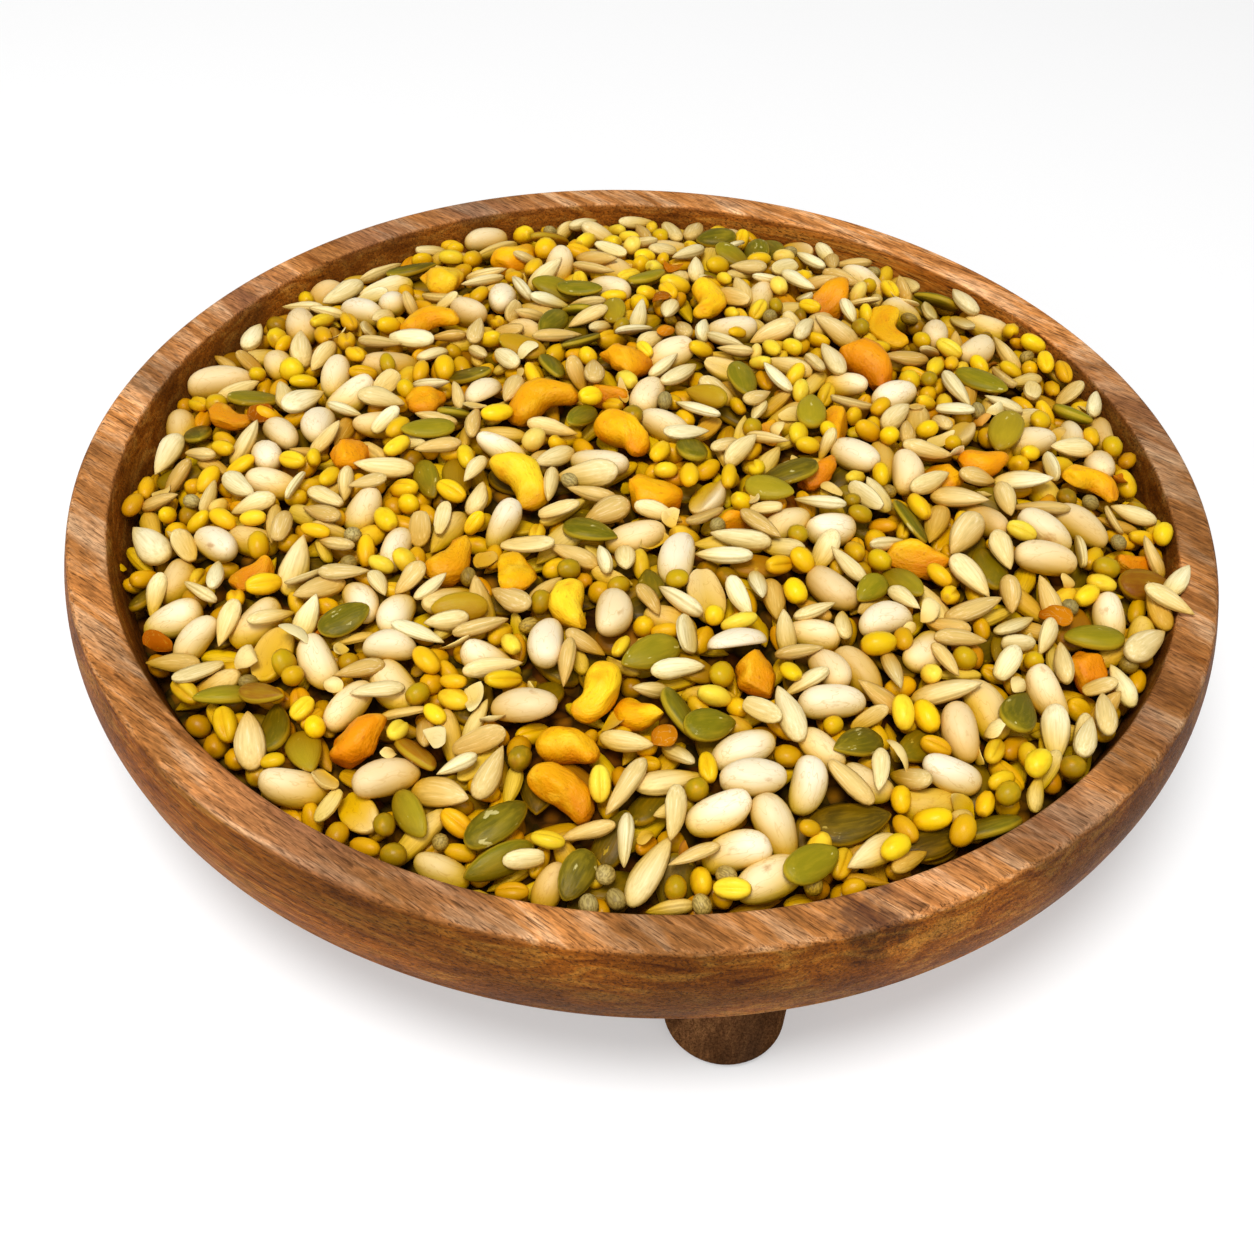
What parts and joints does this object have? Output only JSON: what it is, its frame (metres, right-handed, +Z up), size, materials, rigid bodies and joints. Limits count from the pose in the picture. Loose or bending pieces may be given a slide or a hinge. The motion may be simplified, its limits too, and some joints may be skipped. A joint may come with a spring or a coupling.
{
  "type": "bowl of trail mix",
  "caption": "Shallow round wooden bowl on short peg feet, heaped just above its thick flat rim with a dry mix of nuts, seed kernels and yellow grains.",
  "frame": {"origin": "on the table under the middle of the bowl", "axes": "+Z up; -Y is the side that faced the camera, with one foot near it; +X to the camera's right"},
  "size_m": [0.2628, 0.2628, 0.067],
  "materials": {
    "bowl_wood": "oiled red-brown wood, satin",
    "foot_wood": "oiled red-brown wood, upright grain, satin",
    "mix": "food: dry nuts, kernels and grains in cream, beige, yellow and olive, matte to satin"
  },
  "bodies": {
    "root": {"bowl": "bowl_wood", "foot_1": "foot_wood", "foot_2": "foot_wood", "foot_3": "foot_wood", "mix": "mix"}
  },
  "joints": []
}
